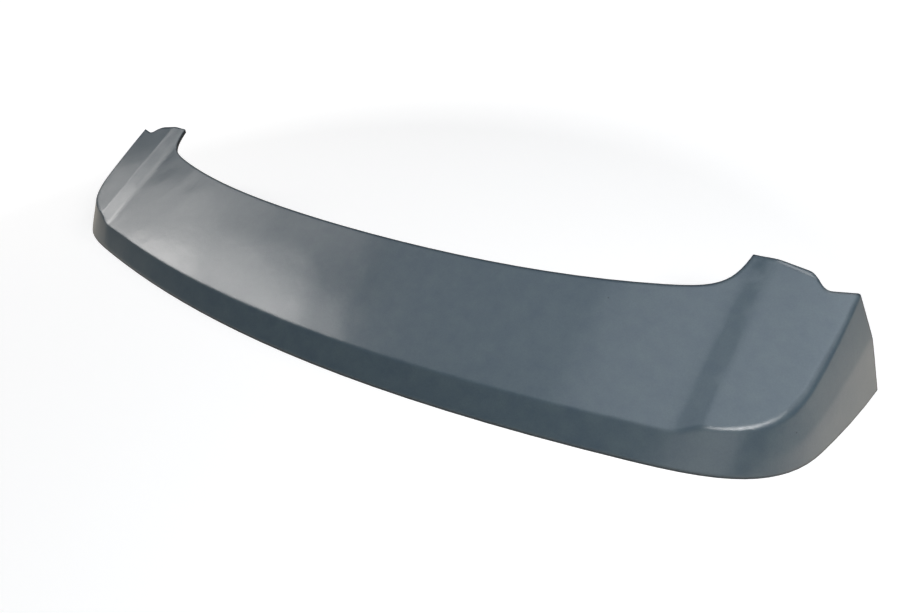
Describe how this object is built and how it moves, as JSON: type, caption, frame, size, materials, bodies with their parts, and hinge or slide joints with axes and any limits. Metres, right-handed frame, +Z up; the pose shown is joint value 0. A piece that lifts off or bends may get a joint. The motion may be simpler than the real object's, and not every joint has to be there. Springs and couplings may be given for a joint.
{
  "type": "car spoiler",
  "caption": "Rear roof spoiler moulded as one thin shell: bowed trailing face, raised end panels with a sloping step, rounded corners, side cheeks and forward horns.",
  "frame": {"origin": "centre of the footprint, in the plane that the lower rim stands on", "axes": "+X towards the right-hand end seen from behind, +Y forward over the roof, +Z up"},
  "size_m": [1.24, 0.2697, 0.1227],
  "materials": {
    "primer": "satin blue-grey primer over moulded polyurethane"
  },
  "bodies": {
    "root": {"spoiler_shell": "primer"}
  },
  "joints": []
}
